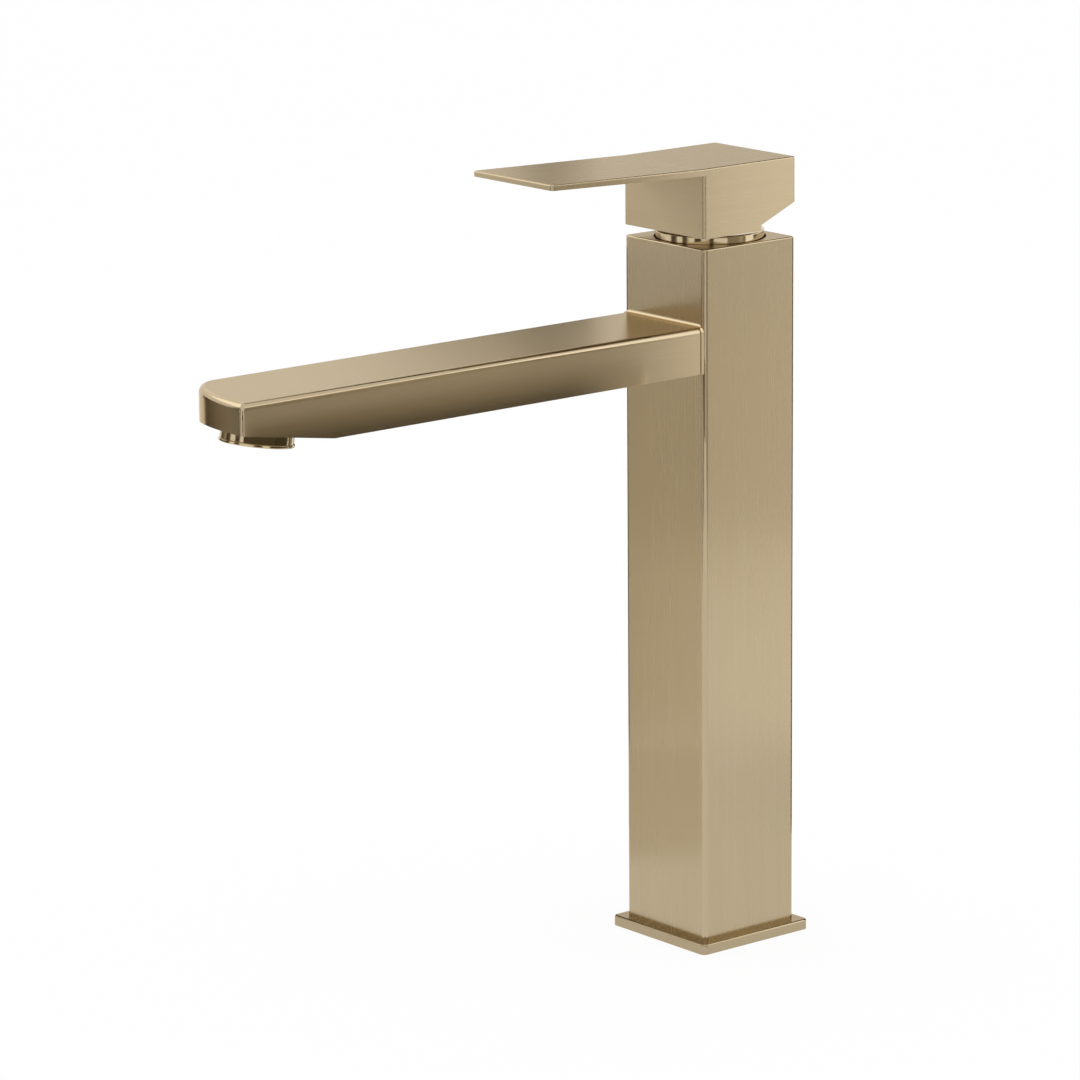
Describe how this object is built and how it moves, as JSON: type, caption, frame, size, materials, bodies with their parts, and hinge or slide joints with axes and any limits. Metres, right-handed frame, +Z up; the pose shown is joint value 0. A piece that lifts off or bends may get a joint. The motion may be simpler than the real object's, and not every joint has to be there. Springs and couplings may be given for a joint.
{
  "type": "basin mixer faucet",
  "caption": "Tall square deck-mounted basin mixer with a flat spout, an aerator under its bevelled tip, and a lever handle that lifts for flow and swivels for temperature.",
  "frame": {"origin": "on the column's axis, at the base's underside, where the faucet meets the deck", "axes": "+Z up along the column, -Y along the spout towards the user, +X to the cold side"},
  "size_m": [0.053, 0.2595, 0.3],
  "materials": {
    "brushed_gold": "brushed champagne gold, physical vapour coated",
    "polished_gold": "polished champagne gold",
    "raw_brass": "machined, uncoated",
    "steel": "stainless",
    "ceramic": null,
    "cartridge_plastic": "moulded engineering plastic",
    "aerator_plastic": "moulded",
    "rubber": "moulded"
  },
  "bodies": {
    "faucet_body": {"base_plate": "brushed_gold", "base_seal": "rubber", "base_screws": "steel", "inlet_block": "raw_brass", "column_shell": "brushed_gold", "hot_riser_tube": "raw_brass", "cold_riser_tube": "raw_brass", "riser_o_rings": "rubber", "valve_head": "raw_brass", "spout_nipple": "raw_brass", "nipple_o_ring": "rubber", "spout_shell": "brushed_gold", "aerator_housing": "polished_gold", "aerator_washer": "rubber", "aerator_screen": "steel", "aerator_insert": "aerator_plastic", "cartridge_base": "cartridge_plastic", "port_seals": "rubber", "fixed_ceramic_disc": "ceramic", "cartridge_housing": "cartridge_plastic", "cartridge_nut": "raw_brass", "cover_ring": "polished_gold"},
    "stem_swivel": {"stem_guide": "cartridge_plastic", "pivot_pin": "steel"},
    "handle": {"lever_handle": "brushed_gold", "stem": "raw_brass", "handle_set_screw": "steel", "screw_cover_plug": "brushed_gold"},
    "mixing_disc": {"moving_ceramic_disc": "ceramic", "disc_carrier": "cartridge_plastic"}
  },
  "joints": [
    {"name": "handle_swivel", "type": "hinge", "parent": "faucet_body", "child": "stem_swivel", "pos_m": [0, 0, 0.258], "axis": [0, 0, 1], "range_deg": [-45, 45]},
    {"name": "handle_lift", "type": "hinge", "parent": "stem_swivel", "child": "handle", "pos_m": [0, 0, 0.258], "axis": [-1, 0, 0], "range_deg": [0, 20]},
    {"name": "disc_slide", "type": "slide", "parent": "stem_swivel", "child": "mixing_disc", "axis": [0, -1, 0], "range_m": [0, 0.0027]}
  ],
  "couplings": [
    {"joint": "disc_slide", "follows": "handle_lift", "m_per_rad": 0.0074466}
  ]
}
